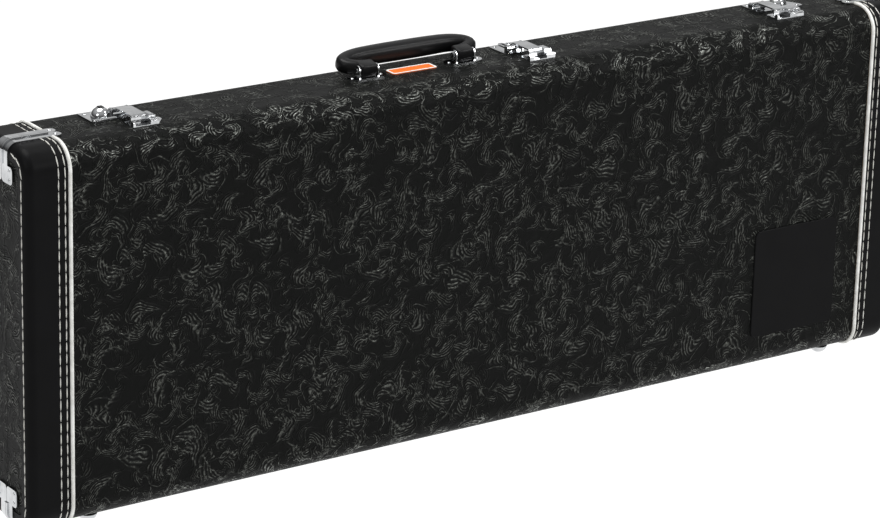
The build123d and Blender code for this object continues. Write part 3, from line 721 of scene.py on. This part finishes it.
# %% A small writer for Geometry Nodes trees
class Steps:
    """Geometry Nodes tree with named inputs."""

    def __init__(self, name, **kinds):
        self.tree = bpy.data.node_groups.new(name, "GeometryNodeTree")
        sockets = self.tree.interface
        sockets.new_socket("Geometry", in_out="INPUT", socket_type="NodeSocketGeometry")
        self.keys = {
            key: sockets.new_socket(key, in_out="INPUT", socket_type=kind).identifier
            for key, kind in kinds.items()
        }
        sockets.new_socket("Geometry", in_out="OUTPUT", socket_type="NodeSocketGeometry")
        self.start = self.tree.nodes.new("NodeGroupInput").outputs
        self.end = self.tree.nodes.new("NodeGroupOutput").inputs

    def node(self, kind, settings=None, inputs=(), output=0):
        """Any node: its type, its settings, and what goes into its sockets."""
        made = self.tree.nodes.new(kind)
        for key, value in (settings or {}).items():
            setattr(made, key, value)
        pairs = inputs.items() if isinstance(inputs, dict) else enumerate(inputs)
        for key, value in pairs:
            if isinstance(value, bpy.types.NodeSocket):
                self.tree.links.new(value, made.inputs[key])
            else:
                made.inputs[key].default_value = value
        return made.outputs[output]

    def close(self, copies, material):
        """Turns copies into smooth real mesh with a material."""
        real = self.node("GeometryNodeRealizeInstances", None, [copies])
        smooth = self.node("GeometryNodeSetShadeSmooth", None, [real])
        painted = self.node("GeometryNodeSetMaterial", None, {0: smooth, "Material": material})
        self.tree.links.new(painted, self.end[0])

    def make(self, name, mesh, values, body, slot):
        """Runs the tree on a mesh and keeps the result as a plain piece."""
        source = bpy.data.objects.new(name + "_source", mesh)
        scene.collection.objects.link(source)
        modifier = source.modifiers.new("steps", "NODES")
        modifier.node_group = self.tree
        for key, value in values.items():
            modifier[self.keys[key]] = value
        bpy.context.view_layer.update()
        view = bpy.context.evaluated_depsgraph_get()
        made = bpy.data.meshes.new_from_object(source.evaluated_get(view))
        bpy.data.objects.remove(source)
        obj = bpy.data.objects.new(name, made)
        scene.collection.objects.link(obj)
        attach(obj, body)
        print(name, len(made.polygons), "faces")


print("a tree can be written step by step")


# %% The stitching tree
def stitching():
    steps = Steps("stitching", Pitch="NodeSocketFloat", Length="NodeSocketFloat",
                  Thickness="NodeSocketFloat")
    seam, pitch, length, thickness = (steps.start[i] for i in range(4))
    line = steps.node("GeometryNodeMeshToCurve", None, [seam])
    dots = steps.node("GeometryNodeResampleCurve", {"mode": "LENGTH"},
                      {"Curve": line, "Length": pitch})
    stitch = steps.node("GeometryNodeMeshUVSphere", None,
                        {"Segments": 8, "Rings": 6, "Radius": 0.5})
    along = steps.node("GeometryNodeInputTangent")
    turn = steps.node("FunctionNodeAlignRotationToVector", {"axis": "X"}, {"Vector": along})
    size = steps.node("ShaderNodeCombineXYZ", None, [length, thickness, thickness])
    copies = steps.node("GeometryNodeInstanceOnPoints", None,
                        {"Points": dots, "Instance": stitch, "Rotation": turn, "Scale": size})
    steps.close(copies, THREAD)
    return steps


STITCHING = stitching()
print(len(STITCHING.tree.nodes), "nodes in the stitching")


# %% Lines for the stitches to follow
def line_mesh(name, lines):
    """Mesh of loose edges through each list of points."""
    points, edges = [], []
    for line in lines:
        start = len(points)
        points += [tuple(p) for p in line]
        edges += [(i, i + 1) for i in range(start, len(points) - 1)]
    mesh = bpy.data.meshes.new(name)
    mesh.from_pydata(points, edges, [])
    return mesh


print("lines can be drawn through points")


# %% Sew both halves
ROWS = (0.0053, 0.0120)           # outside the middle of the piping
EDGE_ROW = 0.0085                 # in from the edge, on the end face
STRIP_CLEAR = 0.0125              # the chrome strip covers the seam up to here
LEATHER_R = 0.0236                # radius of the leather over the long edges
THREAD_LIES = 0.0001              # how far a thread's middle lies over the leather
PLATE_CLEAR = 0.021               # the end plate covers the end rows up to here
STITCH = {"Pitch": 0.0110, "Length": 0.0108, "Thickness": 0.0012}
for half, way in (("base", 1), ("lid", -1)):
    near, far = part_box(f"{half}_leather_left")
    face_y = far.y if way > 0 else near.y
    start_y = PART_Y + way * STRIP_CLEAR
    lines = []
    for end in (-1, 1):
        for row in ROWS:
            lines.append(wrap_points(
                end * (BAND_X + row), face_y + way * THREAD_LIES, far.z + THREAD_LIES,
                near.z - THREAD_LIES, LEATHER_R, start_y))
        lines.append(wrap_points(
            end * (LEATHER_X + THREAD_LIES), face_y - way * EDGE_ROW, far.z - EDGE_ROW,
            near.z + EDGE_ROW, LEATHER_R - EDGE_ROW, PART_Y + way * PLATE_CLEAR))
    seam = line_mesh("seam", lines)
    STITCHING.make(f"stitches_{half}", seam, STITCH, half, "white_piping")

# %% [markdown]
# ## Screws
# Small domed screws hold every fitting. All are copies of one head with a cross in it.
# Each place is a point that also says which way it faces, so one tree serves the top,
# the ends and the hinges. A seeded random turn keeps the crosses from lining up, as they
# never do on a real case.

# %% One screw head
HEAD_R, HEAD_SIDES = 0.0018, 16
DOME = ((1.0, -0.2), (1.0, 0.06), (0.86, 0.26), (0.62, 0.38), (0.30, 0.44))   # radius, rise
CROSS_REACH, CROSS_DEPTH, CROSS_FLOOR = 0.7, 0.26, 0.12


def screw_head():
    """Domed head of radius 1 with a cross pressed into it."""
    builder = bmesh.new()
    rings = []
    for radius, rise in DOME:
        ring = []
        for k in range(HEAD_SIDES):
            t = 2 * math.pi * k / HEAD_SIDES
            dent = CROSS_DEPTH if radius < CROSS_REACH and k % 4 == 0 else 0.0
            place = (radius * math.cos(t), radius * math.sin(t), rise - dent)
            ring.append(builder.verts.new(place))
        rings.append(ring)
    skin(builder, rings, both_ends=False)
    middle = builder.verts.new((0, 0, CROSS_FLOOR))
    for k in range(HEAD_SIDES):
        builder.faces.new((rings[-1][k], rings[-1][(k + 1) % HEAD_SIDES], middle))
    builder.faces.new(rings[0][::-1])
    return object_from("screw_head", builder)


HEAD = screw_head()
print(len(HEAD.data.polygons), "faces in a screw head")


# %% The tree that copies it
def screwing():
    steps = Steps("screwing", Radius="NodeSocketFloat", Seed="NodeSocketInt",
                  Head="NodeSocketObject")
    points, radius, seed, head = (steps.start[i] for i in range(4))
    dots = steps.node("GeometryNodeMeshToPoints", None, [points])
    form = steps.node("GeometryNodeObjectInfo", None, {"Object": head}, output=4)
    facing = steps.node("GeometryNodeInputNamedAttribute", {"data_type": "FLOAT_VECTOR"},
                        {"Name": "facing"})
    turn = steps.node("FunctionNodeAlignRotationToVector", {"axis": "Z"}, {"Vector": facing})
    random = steps.node("FunctionNodeRandomValue", {"data_type": "FLOAT"},
                        {2: 0.0, 3: math.pi, "Seed": seed}, output=1)
    spin = steps.node("FunctionNodeAxisAngleToRotation", None,
                      {"Axis": (0, 0, 1), "Angle": random})
    both = steps.node("FunctionNodeRotateRotation", {"rotation_space": "LOCAL"},
                      {"Rotation": turn, "Rotate By": spin})
    size = steps.node("ShaderNodeCombineXYZ", None, [radius, radius, radius])
    copies = steps.node("GeometryNodeInstanceOnPoints", None,
                        {"Points": dots, "Instance": form, "Rotation": both, "Scale": size})
    steps.close(copies, CHROME)
    return steps


SCREWING = screwing()
print(len(SCREWING.tree.nodes), "nodes in the screwing")

# %% Where the screws go
UP, DOWN = Vector((0, 0, 1)), Vector((0, 0, -1))
SHEET, BRACKET_FOOT = 0.00125, 0.00155         # a head sits this high over the cover
END_IN = 0.0048                                # in from the end of a bracket or a catch
TAB_OUT, TAB_OFF = 0.0055, 0.0057              # strip's tab: outside the piping, off the joint
PLATE_DOWN, PLATE_OFF, PLATE_GAP = 0.0285, 0.0148, 0.0045  # end plate: two screws, one above
LEAF_OFF, LEAF_UP, LEAF_HALF, LEAF_GAP = 0.0112, 0.0012, 0.030, 0.021      # hinge leaves
LATCH_OFF, LATCH_IN, LATCH_SECOND = 0.0345, 0.0045, 0.030  # back row of a latch's plate
NARROW_IN, NARROW_OFF, CATCH_OFF = 0.0052, 0.012, 0.008    # right plate's wing, the catches
screws = {"base": [], "lid": []}


def screw(body, x, y, z, facing):
    screws[body].append((Vector((x, y, z)), facing))


for word in ("left", "right"):
    near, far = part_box(f"handle_{word}_bracket")
    for x in (near.x + END_IN, far.x - END_IN):
        screw("base", x, (near.y + far.y) / 2, TOP + BRACKET_FOOT, UP)
for half, way in (("base", 1), ("lid", -1)):
    near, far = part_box(f"{half}_leather_left")
    for end in (-1, 1):
        for level, facing in ((1, UP), (-1, DOWN)):
            edge_z = far.z if level > 0 else near.z
            screw(half, end * (BAND_X - TAB_OUT), PART_Y + way * TAB_OFF,
                  edge_z + level * SHEET, facing)
            for shift in (-PLATE_GAP, PLATE_GAP):
                screw(half, end * (LEATHER_X + SHEET), PART_Y + way * PLATE_OFF,
                      edge_z - level * PLATE_DOWN + shift, Vector((end, 0, 0)))
    leaves = "hinge_base_leaves" if way > 0 else "hinge_lid_leaves"
    leaf_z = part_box(f"{half}_feet")[1].z - LEAF_UP
    outer = (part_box(leaves)[1].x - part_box(leaves)[0].x) / 2 - LEAF_HALF
    for hinge_x in (-outer, 0.0, outer):
        for shift in (-LEAF_GAP, 0.0, LEAF_GAP):
            screw(half, hinge_x + shift, PART_Y + way * LEAF_OFF, leaf_z, DOWN)
for word in ("left", "middle", "right"):
    near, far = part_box(f"latch_{word}_plate")
    z, back_y = TOP + SHEET, PART_Y + LATCH_OFF
    for x in (near.x + LATCH_IN, near.x + LATCH_SECOND):
        screw("base", x, back_y, z, UP)
    if word == "right":
        screw("base", far.x - NARROW_IN, PART_Y + NARROW_OFF, z, UP)
    else:
        screw("base", far.x - LATCH_IN, back_y, z, UP)
    catch_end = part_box(f"latch_{word}_catch")[1].x
    screw("lid", catch_end - END_IN, PART_Y - CATCH_OFF, z, UP)
print({body: len(places) for body, places in screws.items()}, "screws")

# %% Drive them in
TURN_SEED = 7
for body, places in screws.items():
    mesh = bpy.data.meshes.new("places")
    mesh.from_pydata([tuple(p) for p, _ in places], [], [])
    facing = mesh.attributes.new("facing", "FLOAT_VECTOR", "POINT")
    facing.data.foreach_set("vector", [c for _, f in places for c in f])
    values = {"Radius": HEAD_R, "Seed": TURN_SEED, "Head": HEAD}
    SCREWING.make(f"screws_{body}", mesh, values, body, "chrome")
bpy.data.objects.remove(HEAD)

# %% [markdown]
# ## Plush lining
# Inside, foam blocks wear short plush. Foam under cloth has no sharp edge: corners round
# off, broad faces swell and dimple a little. Each block's solid is copied, rebuilt as an
# even grid of faces with a voxel remesh, smoothed until its edges are soft, and drawn in
# by a slow noise so that it stays clear of the wood. A cloth simulation would give much
# the same on blocks as firm as these, and takes far longer.

# %% Soften one block
SLOW, DRAWN_LEAST, DRAWN_MORE = 22, 0.0003, 0.0011     # noise scale, how far faces are drawn in


def soft_block(node, name, voxel, rounds, body):
    """Plush piece that stands for a foam block."""
    mesh = nodes[node].data.copy()
    builder = bmesh.new()
    builder.from_mesh(mesh)
    bmesh.ops.remove_doubles(builder, verts=builder.verts, dist=1e-5)
    builder.to_mesh(mesh)
    builder.free()
    source = bpy.data.objects.new(name + "_source", mesh)
    scene.collection.objects.link(source)
    remesh = source.modifiers.new("even", "REMESH")
    remesh.mode, remesh.voxel_size, remesh.use_smooth_shade = "VOXEL", voxel, True
    smooth = source.modifiers.new("soft", "SMOOTH")
    smooth.factor, smooth.iterations = 0.5, rounds
    bpy.context.view_layer.update()
    view = bpy.context.evaluated_depsgraph_get()
    made = bpy.data.meshes.new_from_object(source.evaluated_get(view))
    bpy.data.objects.remove(source)
    drawn = []
    for vertex in made.vertices:
        slow = noise.noise(vertex.co * SLOW) * 0.5 + 0.5
        drawn.append(vertex.co - vertex.normal * (DRAWN_LEAST + DRAWN_MORE * slow))
    for vertex, place in zip(made.vertices, drawn):
        vertex.co = place
    obj = bpy.data.objects.new(name, made)
    scene.collection.objects.link(obj)
    dress(obj, PLUSH)
    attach(obj, body)
    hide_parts(node)
    print(name, len(made.polygons), "faces")


# %% Line both halves
PADS = (                          # node, body, size of the even grid, rounds of smoothing
    ("floor_pad", "base", 0.004, 3), ("lid_pad", "lid", 0.004, 3),
    ("waist_pad_top", "base", 0.004, 10), ("waist_pad_bottom", "base", 0.004, 10),
    ("neck_block", "base", 0.004, 10), ("neck_rest", "base", 0.003, 8),
    ("pocket_box", "base", 0.003, 3), ("pocket_lid", "pocket_cover", 0.0025, 3),
)
for node, body, voxel, rounds in PADS:
    soft_block(node, f"plush_{node}", voxel, rounds, body)
print(len(PADS), "blocks lined")
